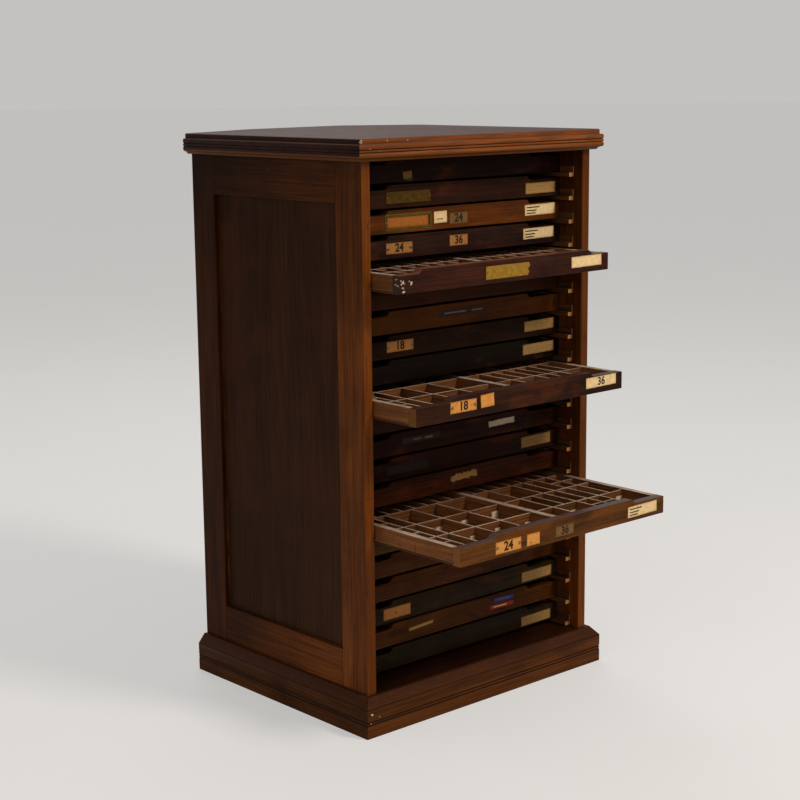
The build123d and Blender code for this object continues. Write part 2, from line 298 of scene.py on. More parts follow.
# %% Pale world
sky = bpy.data.worlds.new("soft_studio")
scene.world = sky
sky.use_nodes = True
graph = Graph(sky.node_tree)
seen = graph.node("ShaderNodeLightPath", out="Is Camera Ray")
for ray in ("Is Glossy Ray", "Is Transmission Ray"):
    seen = seen.maths("MAXIMUM", seen, graph.node("ShaderNodeLightPath", out=ray))
lighting = {"Color": (1.0, 0.98, 0.95, 1.0), "Strength": 0.36}
backdrop = {"Color": backdrop_tint, "Strength": 0.55}
shades = [graph.node("ShaderNodeBackground", {}, given) for given in (lighting, backdrop)]
either = graph.node("ShaderNodeMixShader", {}, {0: seen, 1: shades[0], 2: shades[1]})
graph.node("ShaderNodeOutputWorld", {}, {"Surface": either})
print("world", sky.name)

# %% [markdown]
# Three area lamps light the cabinet at a plain level. Discs this wide give shadows with soft
# edges. The strongest hangs high in front, a little to the right, so the left side is the darker
# one.

# %% Soft lamps
aim = Vector((0.0, 0.0, 0.55))
lamps = (  # name, place, width, power in watts, tint
    ("key_lamp", (1.1, -3.2, 3.7), 1.1, 135.0, (1.0, 0.94, 0.86)),
    ("fill_lamp", (-3.6, -1.6, 2.0), 2.4, 36.0, (1.0, 0.95, 0.9)),
    ("back_lamp", (1.2, 2.6, 3.6), 2.4, 36.0, (0.95, 0.97, 1.0)),
)
for name, place, width, power, tint in lamps:
    light = bpy.data.lights.new(name, "AREA")
    light.shape = "DISK"
    light.size = width
    light.energy = power
    light.color = tint
    lamp = bpy.data.objects.new(name, light)
    scene.collection.objects.link(lamp)
    lamp.location = place
    lamp.rotation_euler = (aim - Vector(place)).to_track_quat("-Z", "Y").to_euler()

# %% [markdown]
# ## Old varnished wood
# The cabinet is stained hardwood under a century of shellac, wax and ink. Grain follows each
# board, so a board carries an attribute `grain`, whose first axis runs along it, and the noise is
# stretched along that axis: wide for the figure, fine for the streaks, finest for the pores. An
# image texture would be quicker, but it would stretch and repeat. More attributes say where a
# board is worn: `shade` differs from board to board, `edge` is one on the rounded edges that hands
# have rubbed, `cut` is one on end grain, `lift` is the height above the piece's underside, and
# `reach` is the distance behind its foremost point.

# %% Measures of old wood
figure_scale, streak_scale = (2.2, 26.0, 26.0), (7.0, 330.0, 330.0)
pore_scale, stain_scale = (60.0, 1500.0, 1500.0), (0.6, 1.0, 1.6)
# painted shade darkens to the rear and the top, and painted light brightens the foot
darker_to_the_rear, darker_to_the_top, warmer_at_the_foot = (-0.14, 0.34), (0.7, 1.05), (0.1, 0.35)
face_plane, shaded_stile = (-0.142, -0.14), (0.2, 0.28)
# the last pair sets the painted shade over a tray's rear rows
top_of_a_case, floor_of_a_box, shaded_rear_rows = (0.024, 0.029), (0.006, 0.008), (0.1, 0.25)
# the first three measures place a painted highlight along the panel's rear edge
lit_edge_band, lit_edge_from, lit_edge_until = (0.2918, 0.2926), (0.16, 0.2), (0.3, 0.42)
dent_tone = colour(16, 9, 6)
wood_relief = 0.5 * mm
print("pores are", round(pore_scale[1] / streak_scale[1], 1), "times finer than streaks")


# %% The layers of a wood finish
class Wood(Finish):
    """The noises that a wood's layers share, and the layers, each laid over the tone so far."""

    def __init__(self, name, streaks):
        super().__init__(name)
        grain = self.attribute("grain", "Vector")
        figure = self.noise(self.stretch(grain, figure_scale), 1.0, detail=4.0, warp=0.8)
        self.lines = self.noise(self.stretch(grain, streak_scale), 1.0, detail=3.0)
        self.pores = self.noise(self.stretch(grain, pore_scale), 1.0, detail=1.0)
        self.cloud = self.noise(self.place, 9.0, detail=4.0, rough=0.6)
        self.fleck = self.noise(self.place, 70.0, detail=3.0, rough=0.7)
        self.normal = self.node("ShaderNodeNewGeometry", out="Normal")
        self.depth = self.step(figure * (1.0 - streaks) + self.lines * streaks, 0.28, 0.72)

    def uneven(self, tone, patches, aged):
        """Boards of different shades, with dark pores and patches; aged paints shade that darkens
        the rear and the top, and light that brightens the foot.
        """
        bright = 1.0 + self.attribute("shade") * 0.16 - self.step(self.pores, 0.6, 0.75) * 0.22
        bright = bright * (1.0 + (self.step(self.cloud, 0.3, 0.7) - 0.5) * patches)
        if aged:
            # aged paints shade: darker to the rear and the top, and light: brighter at the foot
            bright = bright * (1.0 + 0.1 * aged - self.fade(Y, *darker_to_the_rear) * aged)
            bright = bright * (1.0 - self.fade(Z, *darker_to_the_top) * aged * 0.8)
            bright = bright * (1.0 + (1.0 - self.fade(Z, *warmer_at_the_foot)) * aged * 0.32)
        return self.dim(tone, bright)

    def lit_front_face(self, tone, face, aged):
        """The front faces, lit golden by painted light; with aged, less so on the right stile, by
        painted shade.
        """
        toward_front = self.part_of(self.normal, Y) * -1.0
        shown = self.step(toward_front, 0.35, 0.8) * (1.0 - self.fade(Y, *face_plane))
        # painted shade on the right stile
        less = self.fade(X, *shaded_stile) * 0.4 if aged else 0.0
        return self.mix(shown * (0.85 - less), tone, self.mix(self.depth, *face))

    def stained(self, tone, size, lowest, amount, stain):
        spread = self.noise(self.stretch(self.place, stain_scale), size, detail=3.0, rough=0.6)
        strength = self.step(spread, lowest, lowest + 0.16) * amount
        return self.mix(strength * (0.6 + self.depth * 0.4), tone, stain)

    def worn_and_sheen_top(self, tone, top_wear_and_sheen, shade_rear_rows):
        """The upper faces, pale in flecks: wear, on the top and on cases 10 and 15 a painted
        sheen, and in a tray painted shade on its rear rows.
        """
        up = self.step(self.part_of(self.normal, Z), 0.4, 0.65)
        high = self.step(self.attribute("lift"), *top_of_a_case)
        flecks = 0.45 + 0.55 * self.step(self.cloud * 0.5 + self.fleck * 0.5, 0.35, 0.6)
        wear_and_sheen = up * high * flecks * (0.55 + 0.45 * self.depth)
        if shade_rear_rows:
            # painted shade dims the tops of a tray's rear rows
            wear_and_sheen = wear_and_sheen * (1.0 - self.step(self.attribute("reach"), *shaded_rear_rows) * 0.6)
        return self.mix(wear_and_sheen, tone, top_wear_and_sheen)

    def lined_floor(self, tone, lining):
        """The floors of a tray's boxes, which keep scraps of their paper lining."""
        deep = 1.0 - self.step(self.attribute("lift"), *floor_of_a_box)
        papered = self.step(self.part_of(self.normal, Z), 0.8, 0.95) * deep
        return self.mix(papered * (0.4 + 0.6 * self.step(self.fleck, 0.35, 0.6)), tone, lining)

    def groove_line(self, tone, height, width, line_colour):
        away = abs(self.part_of(self.place, Z) - height)
        return self.mix((1.0 - self.step(away, width * 0.6, width)) * 0.85, tone, line_colour)

    def lit_edge_strip(self, tone, lit_edge):
        """A pale line along the panel's rear edge: a painted highlight where the stile's edge
        catches the lamp, broken and fading upward.
        """
        broken = self.fade(Z, *lit_edge_from) * self.step(self.cloud, 0.42, 0.56)
        strength = 0.3 + 0.6 * (1.0 - self.fade(Z, *lit_edge_until))
        return self.mix(self.fade(Y, *lit_edge_band) * broken * strength, tone, lit_edge)


print("layers", [name for name in vars(Wood) if not name.startswith("_")])


# %% A wood finish from its colours
def wood(name, dark, light, worn, end=None, gloss=0.42, wear=0.6, streaks=0.6, patches=0.45,
         top_wear_and_sheen=None, face=None, grooves=(), specular=0.05, aged=0.0, lit_edge=None, blots=(),
         lining=None):
    """Dark and light grain, worn edges, end grain, and the layers that a piece asks for.

    A groove is (height, width, colour), and a blot is (scale, threshold, amount, colour).
    """
    board = Wood(name, streaks)
    tone = board.uneven(board.mix(board.depth, dark, light), patches, aged)
    if face:
        tone = board.lit_front_face(tone, face, aged)
    for blot in blots:
        tone = board.stained(tone, *blot)
    ends = end or tuple(v * 0.7 for v in dark[:3]) + (1.0,)
    tone = board.mix(board.attribute("cut") * 0.85, tone, ends)
    uneven_wear = board.step(board.cloud + board.fleck * 0.5, 0.55, 0.95)
    rub = board.attribute("edge") * wear * uneven_wear
    tone = board.mix(rub, tone, worn)
    if top_wear_and_sheen:
        tone = board.worn_and_sheen_top(tone, top_wear_and_sheen, shade_rear_rows=lining)
    if lining:
        tone = board.lined_floor(tone, lining)
    for groove in grooves:
        tone = board.groove_line(tone, *groove)
    if lit_edge:
        tone = board.lit_edge_strip(tone, lit_edge)
    dent = board.step(board.noise(board.place, 160.0, detail=1.0), 0.72, 0.78)
    tone = board.mix(dent * 0.5, tone, dent_tone)
    rough = gloss + (board.fleck - 0.5) * 0.22 + (board.cloud - 0.5) * 0.2 + rub * 0.2
    relief = board.lines * 0.5 + board.pores * 0.3 + board.cloud * 0.5 - dent * 0.6
    return board.surface(tone, rough, relief, wood_relief, specular)


print("wood relief", wood_relief / mm, "mm")

# %% [markdown]
# ## Finishes of the carcass
# The frame's front faces carry painted light that makes them golden, and painted shade darkens its
# sides to the rear and to the top. The panels are darker still. Painted shade fills the quirks
# between the reeds of the top and the grooves of the plinth. They could be modelled deeper, but a
# dark line in the finish paints their shade.

# %% Frame and panels
# painted shade for the dark lines in grooves
groove_shade = colour(14, 8, 5)
frame_wood = wood(
    "frame_wood", colour(50, 24, 7), colour(98, 51, 15), colour(146, 84, 36),
    # aged=0.7 paints shade to the rear and the top, and light at the foot
    gloss=0.4, patches=0.3, specular=0.04, aged=0.7,
    # the face colours are painted light on the frame's front faces
    face=(colour(82, 39, 10), colour(118, 63, 18)),
    blots=((7.0, 0.55, 0.35, colour(34, 16, 8)),))
panel_wood = wood(
    "panel_wood", colour(35, 19, 8), colour(58, 33, 13), colour(96, 56, 28),
    # aged=0.3 paints shade to the rear and the top; the pale edge colour is a painted highlight
    gloss=0.38, patches=0.15, specular=0.035, aged=0.3, lit_edge=colour(92, 52, 23),
    blots=((3.0, 0.48, 0.4, colour(62, 29, 11)),))
print("frame and panel ready")

# %% Top and plinth
under_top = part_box("top_board")[0].z
reeds = (  # height of a line on the top's edge, its half width, its colour
    (under_top + 3.0 * mm, 8.0 * mm, colour(86, 48, 16)),
    # painted shade in the quirks between the reeds
    (under_top + 5.5 * mm, 0.8 * mm, groove_shade),
    (under_top + 15.2 * mm, 1.1 * mm, groove_shade),
    (under_top + 20.2 * mm, 1.1 * mm, groove_shade),
    (under_top + 29.7 * mm, 0.5 * mm, colour(96, 66, 48)),
)
# painted shade in the plinth's grooves
plinth_lines = ((0.026, 1.9 * mm, groove_shade), (0.0315, 1.5 * mm, groove_shade), (0.0563, 1.0 * mm, groove_shade))
top_wood = wood(
    "top_wood", colour(34, 17, 14), colour(106, 58, 42), colour(150, 118, 96),
    # the top's pale upper colour is dust under a painted sheen
    gloss=0.52, streaks=0.5, specular=0.07, grooves=reeds, top_wear_and_sheen=colour(74, 56, 50),
    # the face colours are painted light on the top's front moulding
    face=(colour(94, 44, 12), colour(138, 76, 24)),
    blots=((16.0, 0.52, 0.5, colour(58, 28, 22)), (9.0, 0.6, 0.4, colour(120, 72, 52))))
plinth_wood = wood(
    "plinth_wood", colour(44, 23, 9), colour(86, 48, 18), colour(124, 80, 48),
    gloss=0.42, specular=0.04, grooves=plinth_lines, top_wear_and_sheen=colour(52, 26, 16),
    # the face colours are painted light on the plinth's front
    face=(colour(54, 28, 9), colour(96, 52, 17)),
    blots=((8.0, 0.54, 0.5, colour(30, 15, 8)),))
print("underside of the top at", round(under_top, 4))

# %% Woods inside the cabinet
floor_wood = wood("floor_wood", colour(27, 12, 5), colour(50, 23, 8), colour(100, 62, 40),
                  gloss=0.45)
inner_wood = wood("inner_wood", colour(44, 27, 16), colour(78, 50, 30), colour(120, 86, 58),
                  gloss=0.6)
runner_wood = wood("runner_wood", colour(44, 25, 13), colour(88, 55, 29), colour(156, 110, 68),
                   end=colour(176, 118, 66), gloss=0.55)
print("wood finishes", len([m for m in bpy.data.materials if m.name.endswith("wood")]))

# %% [markdown]
# ## Dressing a CAD node
# A packed node has perfect edges and no attributes. Real boards have edges rounded by a plane,
# sand paper and hands, and a thin bright line of light runs along each. So a node is copied, its
# loose triangles are merged into flat faces, and the bevel operator rounds the sharp edges board
# by board. A Bevel modifier could do it, but it can't name the new faces, and the wear needs to
# know them.

# %% Find the boards inside one mesh
def boards(form):
    """The loose parts of a mesh, as lists of its vertices."""
    form.verts.ensure_lookup_table()
    left = set(form.verts)
    found = []
    for start in form.verts:
        if start not in left:
            continue
        left.discard(start)
        heap, part = [start], []
        while heap:
            vertex = heap.pop()
            part.append(vertex)
            for edge in vertex.link_edges:
                other = edge.other_vert(vertex)
                if other in left:
                    left.discard(other)
                    heap.append(other)
        found.append(part)
    return found


def span(part):
    lows = [min(v.co[k] for v in part) for k in range(3)]
    highs = [max(v.co[k] for v in part) for k in range(3)]
    return Vector(lows), Vector(highs)


form = bmesh.new()
form.from_mesh(frame["nodes"]["left_side_frame"].data)
bmesh.ops.remove_doubles(form, verts=form.verts, dist=0.02 * mm)
print("boards in the left side frame", len(boards(form)))
form.free()

# %% Round the edges
hard_angle, flat_angle, smooth_angle = math.radians(30.0), math.radians(1.0), math.radians(25.0)


def soften(form, radius):
    """Rounds each board's sharp edges, and returns the faces that this made."""
    worn = []
    for part in boards(form):
        edges = {e for v in part for e in v.link_edges if len(e.link_faces) == 2}
        hard = [e for e in edges if e.calc_face_angle(0.0) > hard_angle]
        hard.sort(key=lambda e: e.index)
        made = bmesh.ops.bevel(form, geom=hard, offset=radius, offset_type="OFFSET", segments=2,
                               profile=0.5, affect="EDGES", clamp_overlap=True, material=-1)
        worn.extend(made["faces"])
    return worn


print("edges sharper than", round(math.degrees(hard_angle)), "degrees are rounded")


# %% Write the attributes
def mark(form, name, worn, along=None):
    """Writes what the wood finish reads. The grain runs along the axis named, or the longest."""
    dice = random.Random(name)
    grain = form.verts.layers.float_vector.new("grain")
    shade = form.verts.layers.float.new("shade")
    lift = form.verts.layers.float.new("lift")
    reach = form.verts.layers.float.new("reach")
    edge = form.faces.layers.float.new("edge")
    cut = form.faces.layers.float.new("cut")
    lowest = span(form.verts)[0]
    for face in worn:
        if face.is_valid:
            face[edge] = 1.0
    for part in boards(form):
        low, high = span(part)
        size = high - low
        longest = "xyz".index(along) if along else max(range(3), key=lambda k: size[k])
        others = [k for k in range(3) if k != longest]
        shift = Vector((dice.uniform(0, 9), dice.uniform(0, 9), dice.uniform(0, 9)))
        tone = dice.uniform(-1.0, 1.0)
        for vertex in part:
            at = vertex.co
            vertex[grain] = Vector((at[longest], at[others[0]], at[others[1]])) + shift
            vertex[shade] = tone
            vertex[lift] = at.z - lowest.z
            vertex[reach] = at.y - lowest.y
        for face in {f for v in part for f in v.link_faces}:
            if abs(face.normal[longest]) > 0.8:
                face[cut] = 1.0


print("attributes: grain, shade, lift, reach, edge and cut")


# %% Put a dressed piece in a node's place
def put(form, name, body, finishes):
    """A finished mesh becomes an object that stands at the origin and rides on its body."""
    mesh = bpy.data.meshes.new(name)
    form.normal_update()
    form.to_mesh(mesh)
    form.free()
    mesh.polygons.foreach_set("use_smooth", [True] * len(mesh.polygons))
    mesh.set_sharp_from_angle(angle=smooth_angle)
    piece = bpy.data.objects.new(name, mesh)
    scene.collection.objects.link(piece)
    for finish in finishes:
        mesh.materials.append(finish)
    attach(piece, body)
    return piece


def dress(node, finish, radius, along=None):
    source = frame["nodes"][node]
    form = bmesh.new()
    form.from_mesh(source.data)
    bmesh.ops.remove_doubles(form, verts=form.verts, dist=0.02 * mm)
    bmesh.ops.dissolve_limit(form, angle_limit=flat_angle, verts=form.verts, edges=form.edges)
    worn = soften(form, radius)
    mark(form, node, worn, along)
    piece = put(form, node + "_dressed", source["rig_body"], [finish])
    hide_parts(node)


# %% Dress the carcass
dress("top_board", top_wood, 1.2 * mm, along="x")
for side in ("left", "right"):
    dress(side + "_side_frame", frame_wood, 1.4 * mm)
    dress(side + "_side_panel", panel_wood, 0.5 * mm, along="z")
    dress("plinth_" + side, plinth_wood, 1.0 * mm)
    dress(side + "_runners", runner_wood, 0.5 * mm)
dress("plinth_front", plinth_wood, 1.0 * mm)
dress("floor_board", floor_wood, 0.8 * mm, along="x")
for node in ("back_boards", "plinth_back", "glue_blocks"):
    dress(node, inner_wood, 0.8 * mm)

# %% [markdown]
# ## Twenty-one cases
# The cases were bought over many years, so no two fronts have the same colour: some are nearly
# black with ink, some are still warm and orange. Each front gets its own pair of grain colours
# from the same wood finish. One finish with a random tint would be shorter, but it couldn't follow
# the real order.

# %% Colours of the case fronts
front_tones = {  # dark grain and light grain, by case from the top
    1: ((16, 8, 5), (34, 17, 11)), 2: ((28, 14, 8), (54, 28, 15)),
    3: ((54, 25, 8), (96, 50, 15)), 4: ((27, 15, 11), (54, 30, 22)),
    5: ((31, 16, 11), (60, 30, 19)), 6: ((30, 13, 5), (60, 30, 11)),
    7: ((54, 28, 8), (82, 43, 11)), 8: ((22, 11, 6), (38, 20, 9)),
    9: ((11, 7, 4), (22, 14, 8)), 10: ((27, 13, 7), (50, 26, 14)),
    11: ((28, 12, 6), (54, 27, 13)), 12: ((27, 11, 7), (48, 22, 14)),
    13: ((26, 11, 7), (46, 21, 13)), 14: ((38, 15, 6), (68, 31, 11)),
    15: ((50, 28, 10), (93, 55, 20)), 16: ((40, 26, 11), (68, 46, 20)),
    17: ((46, 23, 9), (80, 43, 17)), 18: ((50, 24, 9), (86, 45, 16)),
    19: ((28, 19, 9), (46, 32, 15)), 20: ((54, 27, 8), (92, 50, 14)),
    21: ((28, 19, 10), (44, 31, 16)),
}
# the three cases that stand drawn out: wear of their edges, top edge (a painted reflection on 10
# and 15) and end grain
drawn_wear = {5: 0.7, 10: 0.6, 15: 0.5}
# case 5's top edge is worn; the top edges of cases 10 and 15 carry a painted reflection
top_edges_worn_and_sheen = {5: colour(128, 82, 60), 10: colour(70, 48, 46), 15: colour(84, 72, 72)}
front_ends = {5: colour(50, 38, 28), 10: colour(98, 61, 28), 15: colour(112, 72, 36)}
shut_wear = 0.3
warm, inky, front_worn = colour(104, 48, 18), colour(20, 12, 9), colour(142, 96, 66)
for case, (dark, light) in front_tones.items():
    node = "case_%02d_front" % case
    blots = ((8.0 + case * 0.37, 0.52, 0.6, inky), (11.0 + case * 0.29, 0.56, 0.3, warm))
    finish = wood(node + "_wood", colour(*dark), colour(*light), front_worn, gloss=0.36,
                  wear=drawn_wear.get(case, shut_wear), top_wear_and_sheen=top_edges_worn_and_sheen.get(case),
                  end=front_ends.get(case), specular=0.04 if case in drawn_wear else 0.03,
                  blots=blots)
    dress(node, finish, 1.0 * mm, along="x")
print("case fronts", len(front_tones))

# %% [markdown]
# The trays behind the fronts are bare, dry wood. Their slats have gone pale on top, less so in
# the rear rows, which carry painted shade, and paper lines the floors of their boxes.

# %% Dry wood of the trays
tray_wood = wood(
    "tray_wood", colour(66, 38, 18), colour(116, 71, 37), colour(160, 120, 84),
    gloss=0.62, wear=0.5, patches=0.5, specular=0.06,
    top_wear_and_sheen=colour(190, 170, 152), lining=colour(186, 150, 108))
for case in front_tones:
    dress("case_%02d_tray" % case, tray_wood, 0.5 * mm)

# %% [markdown]
# ## Paper labels
# Printers stuck paper on the fronts: cream slips at the right, orange size numbers held by two
# round tacks at the left, and a few odd scraps. They carry plain numbers and ruled lines. A label
# is a grid of a few faces, so that it can cockle and its rim can be torn, with a little thickness.
# Its ink is a raised mesh a hair in front of it. Painting labels into the wood's material would be
# lighter, but then they could not lift.

# %% Paper and ink
def paper(name, pale, stain):
    finish = Finish(name)
    cloud = finish.noise(finish.place, 140.0, detail=4.0, rough=0.6)
    fibre = finish.noise(finish.place, 1100.0, detail=2.0)
    tone = finish.mix(finish.step(cloud, 0.4, 0.85) * 0.55, pale, stain)
    tone = finish.mix(finish.attribute("rim") * 0.55, tone, stain)
    tone = finish.dim(tone, 0.86 + fibre * 0.28)
    return finish.surface(tone, 0.8 + (fibre - 0.5) * 0.2, fibre, 0.1 * mm, 0.2)


cream = paper("cream_paper", colour(218, 188, 138), colour(160, 124, 76))
buff = paper("buff_paper", colour(150, 114, 62), colour(104, 74, 38))
orange = paper("orange_paper", colour(200, 134, 58), colour(140, 84, 32))
# a darker copy of the orange paper, painted shade for the labels on shut cases
shaded_orange = paper("old_orange_paper", colour(162, 106, 50), colour(112, 68, 28))
olive = paper("olive_paper", colour(108, 77, 37), colour(66, 45, 22))
white = paper("white_paper", colour(190, 172, 150), colour(130, 108, 88))
dark_strip = paper("dark_strip", colour(48, 30, 28), colour(30, 18, 16))
faded_strip = paper("faded_strip", colour(35, 23, 13), colour(27, 15, 9))
yellow_strip = paper("yellow_strip", colour(150, 118, 50), colour(96, 70, 30))
blue_strip = paper("blue_strip", colour(50, 50, 112), colour(38, 34, 62))
red_strip = paper("red_strip", colour(136, 42, 26), colour(84, 30, 18))
green_scrap = paper("green_scrap", colour(22, 52, 30), colour(14, 30, 18))
card = paper("orange_card", colour(156, 88, 26), colour(100, 50, 14))
ink = paper("black_ink", colour(30, 22, 18), colour(44, 32, 24))
grey_ink = paper("grey_ink", colour(112, 92, 68), colour(84, 66, 46))
paper_names = ("paper", "strip", "scrap", "card", "ink")
print("papers and inks", len([m for m in bpy.data.materials if m.name.endswith(paper_names)]))

# %% [markdown]
# Tacks and brass share one metal, bright where it is rubbed and dull where tarnish has spread.
# Tarnish also makes it rougher and less of a metal.

# %% Metals
def metal(name, bright, dull, rough=0.42):
    finish = Finish(name)
    cloud = finish.noise(finish.place, 110.0, detail=5.0, rough=0.7)
    fine = finish.noise(finish.place, 700.0, detail=2.0)
    tarnish = finish.step(cloud * 0.6 + fine * 0.4, 0.36, 0.74)
    tone = finish.mix(tarnish, bright, dull)
    return finish.surface(tone, rough + tarnish * 0.25, fine, 0.15 * mm, 0.1,
                          metal=0.85 - tarnish * 0.3)


tack_metal = metal("tack_metal", colour(132, 118, 98), colour(58, 48, 36))
brass = metal("aged_brass", colour(174, 132, 48), colour(108, 78, 26))
dull_brass = metal("dull_brass", colour(122, 104, 38), colour(76, 62, 20), rough=0.5)
dark_brass = metal("dark_brass", colour(88, 64, 20), colour(50, 34, 11), rough=0.5)
print("metals", tack_metal.name, brass.name, dull_brass.name, dark_brass.name)


# %% Small shapes that labels and fittings share
def slab(form, low, high, index=0):
    """A thin plate between two corners, for a printed line, a slip or a dent."""
    made = bmesh.ops.create_cube(form, size=1.0)["verts"]
    bmesh.ops.scale(form, vec=high - low, verts=made)
    bmesh.ops.translate(form, vec=(high + low) / 2, verts=made)
    for face in {f for v in made for f in v.link_faces}:
        face.material_index = index


def dome(form, centre, radius, height, index=0):
    """The round head of a tack or a pin, which looks to the front."""
    made = bmesh.ops.create_uvsphere(form, u_segments=14, v_segments=8, radius=radius)["verts"]
    bmesh.ops.scale(form, vec=(1.0, height / radius, 1.0), verts=made)
    bmesh.ops.translate(form, vec=centre, verts=made)
    for face in {f for v in made for f in v.link_faces}:
        face.material_index = index


def number_mesh(words, height, centre, bold):
    """Plain figures as a mesh that stands upright and looks to the front."""
    curve = bpy.data.curves.new("figures", "FONT")
    curve.body = words
    curve.align_x, curve.align_y = "CENTER", "CENTER"
    curve.size = height
    curve.offset = height * bold
    curve.extrude = 0.04 * mm
    text = bpy.data.objects.new("figures", curve)
    scene.collection.objects.link(text)
    bpy.context.view_layer.update()
    drawn = text.evaluated_get(bpy.context.evaluated_depsgraph_get())
    mesh = bpy.data.meshes.new_from_object(drawn)
    bpy.data.objects.remove(text)
    mesh.transform(Matrix.Translation(centre) @ Matrix.Rotation(math.radians(90), 4, "X"))
    return mesh


figures = number_mesh("24", 20.0 * mm, Vector(), 0.035)
print("faces in two figures", len(figures.polygons))
bpy.data.meshes.remove(figures)

# %% A cockled sheet of paper
paper_thickness, paper_lift = 0.11 * mm, 0.05 * mm
ink_ahead = -0.16 * mm
tack_radius, tack_height, tack_inset = 3.6 * mm, 1.4 * mm, 4.2 * mm


def cockled_sheet(form, left, right, foot, head, ragged, dice):
    """A thin sheet around the origin, between edges in millimetres, with waves and a torn rim."""
    bmesh.ops.create_grid(form, x_segments=18, y_segments=6, size=0.5)
    lows, highs = span(form.verts)
    rim = form.verts.layers.float.new("rim")
    middle = Vector(((left + right) / 2, 0.0, (foot + head) / 2)) * mm
    for vertex in form.verts:
        share = [(vertex.co[k] - lows[k]) / (highs[k] - lows[k]) for k in (X, Y)]
        torn = ragged if vertex.is_boundary else 0.0
        x = left + share[0] * (right - left) + dice.uniform(-torn, torn)
        z = foot + share[1] * (head - foot) + dice.uniform(-torn, torn)
        wave = math.sin(share[0] * 9.0 + dice.random() * 0.4)
        cockle = 0.06 + 0.05 * wave + dice.uniform(0.0, 0.03)
        vertex[rim] = 1.0 if vertex.is_boundary else 0.0
        vertex.co = Vector((x * mm - middle.x, -cockle * mm, z * mm - middle.z))
    sheet = bmesh.ops.extrude_face_region(form, geom=form.faces[:])
    moved = [v for v in sheet["geom"] if isinstance(v, bmesh.types.BMVert)]
    bmesh.ops.translate(form, vec=(0.0, paper_thickness, 0.0), verts=moved)
    bmesh.ops.recalc_face_normals(form, faces=form.faces[:])
    return middle


def print_number(form, number, height, bold):
    figures = number_mesh(number, 1.05 * height, Vector((0.0, ink_ahead, 0.0)), bold)
    figures.materials.clear()
    first = len(form.faces)
    form.from_mesh(figures)
    form.faces.ensure_lookup_table()
    for face in form.faces[first:]:
        face.material_index = 1
    bpy.data.meshes.remove(figures)


print("a sheet is", round(paper_thickness / mm, 2), "mm thick")


# %% One label
def label(case, name, left, right, foot, head, paper_kind, number="", bars=(), tacks=False,
          ragged=0.25, tilt=0.0, bold=0.03, marks=ink):
    """A paper on the front of a case, placed in millimetres from its middle and underside.

    A bar is a printed line, as shares of the paper: (left, right, below, above).
    """
    title = "case_%02d_%s" % (case, name)
    dice = random.Random(title)
    low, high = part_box("case_%02d_front" % case)
    form = bmesh.new()
    middle = cockled_sheet(form, left, right, foot, head, ragged, dice)
    width, height = (right - left) * mm, (head - foot) * mm
    for start, end, below, above in bars:
        slab(form, Vector(((start - 0.5) * width, ink_ahead - 0.05 * mm, (below - 0.5) * height)),
             Vector(((end - 0.5) * width, ink_ahead + 0.03 * mm, (above - 0.5) * height)), 1)
    if number:
        print_number(form, number, height, bold)
    if tacks:
        for side in (-1.0, 1.0):
            at = Vector((side * (width / 2 - tack_inset), -0.1 * mm, 0.0))
            dome(form, at, tack_radius, tack_height, 2)
    turn = Matrix.Rotation(math.radians(tilt), 4, "Y")
    place = Matrix.Translation((middle.x, low.y - paper_lift, low.z + middle.z))
    bmesh.ops.transform(form, matrix=place @ turn, verts=form.verts[:])
    return put(form, title, "case_%02d" % case, [paper_kind, marks, tack_metal])


# %% Slips at the right of the fronts
printed = ((0.06, 0.48, 0.69, 0.80), (0.06, 0.38, 0.40, 0.51), (0.06, 0.34, 0.15, 0.26))
thin = ((0.08, 0.92, 0.60, 0.64), (0.08, 0.80, 0.34, 0.38))
slips = (  # case, left, right, foot, head, paper, lines
    (2, 176, 260, 7, 28, buff, thin), (3, 174, 260, 11, 32, cream, printed),
    (4, 170, 256, 11, 32, cream, printed), (5, 168, 253, 11, 32, cream, ()),
    (8, 174, 258, 12, 32.5, buff, thin), (9, 170, 258, 12, 32.5, buff, thin),
    (13, 166, 250, 8, 30, buff, thin), (15, 168, 252, 8, 29, cream, printed),
    (19, 169, 256, 4, 25, buff, thin), (21, 168, 254, 3, 23, buff, thin),
)
for case, left, right, foot, head, kind, lines in slips:
    label(case, "slip", left, right, foot, head, kind, bars=lines, tilt=-0.6,
          marks=ink if lines is printed else grey_ink)
label(10, "slip", 169, 255, 12, 32.5, cream, number="36", bold=0.025, tilt=-0.6)
print("slips", len(slips) + 1)

# %% Numbers
size_numbers = (  # case, left, right, foot, head, number, paper
    (4, -189, -124, 9, 29, "24", shaded_orange), (8, -190, -124, 12, 32, "18", shaded_orange),
    (10, -190, -125, 13, 34, "18", orange), (15, -186, -122, 6, 28, "24", orange),
)
for case, left, right, foot, head, size, kind in size_numbers:
    label(case, "size_number", left, right, foot, head, kind, number=size, tacks=True, bold=0.035)
label(3, "middle_number", -29, 18, 8, 29, olive, number="24")
label(4, "middle_number", -29, 18, 13, 33, shaded_orange, number="36")
label(15, "middle_number", -31, 16, 8, 28, olive, number="36")
print("numbers", len(size_numbers) + 3)

